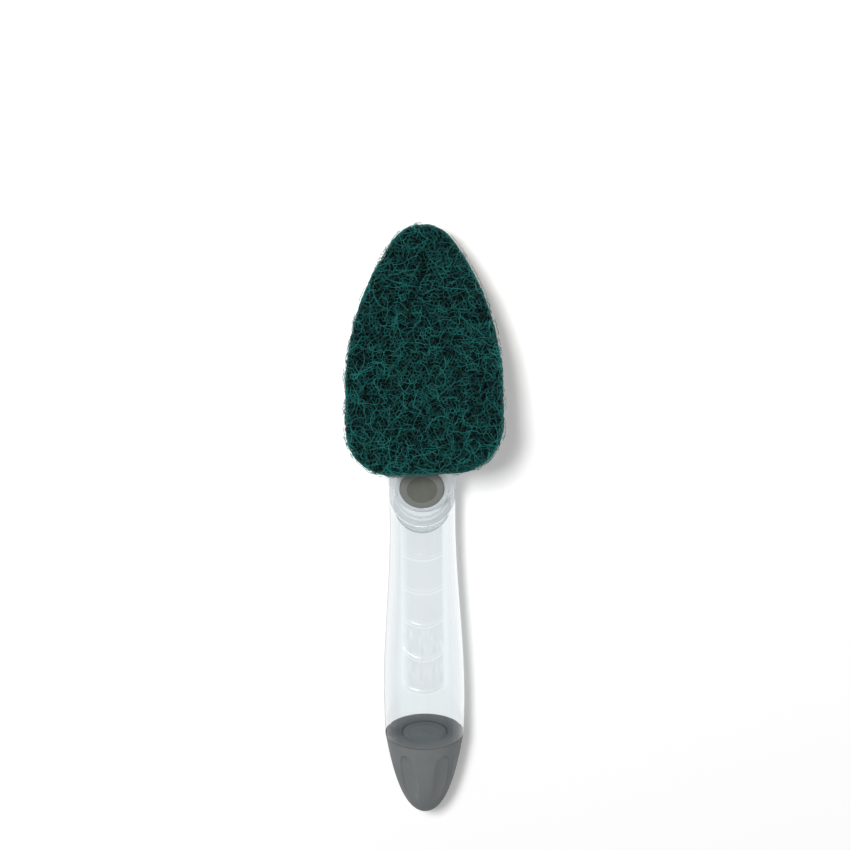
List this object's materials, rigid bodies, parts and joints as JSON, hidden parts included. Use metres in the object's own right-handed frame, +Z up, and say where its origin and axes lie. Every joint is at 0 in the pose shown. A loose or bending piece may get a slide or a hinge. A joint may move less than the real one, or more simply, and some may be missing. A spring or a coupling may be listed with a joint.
{
  "type": "dish wand",
  "caption": "Soap-dispensing dish wand: clear hollow handle with a screw-on end cap, a push-button valve in the neck, and a push-on head with a sponge and a teardrop scrubbing pad.",
  "frame": {"origin": "on the surface the wand lies on, below the middle of its bounding box", "axes": "+Y along the handle towards the head's tip, +Z up out of the scrubbing side, +X across the wand"},
  "size_m": [0.06, 0.2518, 0.0551],
  "materials": {
    "clear_plastic": "clear moulded plastic, glossy",
    "base_plastic": "pale grey moulded plastic, satin",
    "button_grey": "mid grey plastic, fine matte",
    "inlay_grey": "olive grey soft moulding, matte",
    "cap_grey": "mid grey plastic, soft matte",
    "spring_steel": "drawn spring wire and stamped clip",
    "valve_white": "white moulded plastic, satin",
    "seal_dark": "black seal rubber, matte",
    "nozzle_soft": "milky soft rubber, matte",
    "sponge_yellow": "open-cell sponge, matte",
    "pad_green": "nonwoven scrubbing fibre, matte with glints"
  },
  "bodies": {
    "handle": {"handle_shell": "clear_plastic", "neck_housing": "clear_plastic", "button_bezel": "clear_plastic", "valve_sleeve": "valve_white", "stem_ring": "seal_dark", "sleeve_ring": "seal_dark", "return_spring": "spring_steel", "outlet_nozzle": "nozzle_soft"},
    "button": {"button_cap": "button_grey", "button_inlay": "inlay_grey", "valve_stem": "valve_white", "valve_disc": "seal_dark", "stem_clip": "spring_steel"},
    "cap_seal": {"cap_gasket": "seal_dark"},
    "cap": {"end_cap": "cap_grey"},
    "head": {"head_base": "base_plastic", "feed_grommet": "nozzle_soft", "sponge_core": "sponge_yellow", "scrub_pad": "pad_green"}
  },
  "joints": [
    {"name": "button_press", "type": "slide", "parent": "handle", "child": "button", "axis": [0, 0.1564, -0.9877], "range_m": [0, 0.003], "stiffness_N_per_m": 1500, "springref_m": -0.001, "deforming": ["return_spring"]},
    {"name": "cap_lift", "type": "slide", "parent": "handle", "child": "cap_seal", "axis": [0, -1, 0], "range_m": [0, 0.01]},
    {"name": "cap_turn", "type": "hinge", "parent": "cap_seal", "child": "cap", "pos_m": [0, -0.09041, 0.01625], "axis": [0, -1, 0], "range_deg": [0, 541]},
    {"name": "head_pull", "type": "slide", "parent": "handle", "child": "head", "axis": [0, 1, 0], "range_m": [0, 0.03]}
  ],
  "couplings": [
    {"joint": "cap_turn", "follows": "cap_lift", "rad_per_m": 942.48}
  ]
}
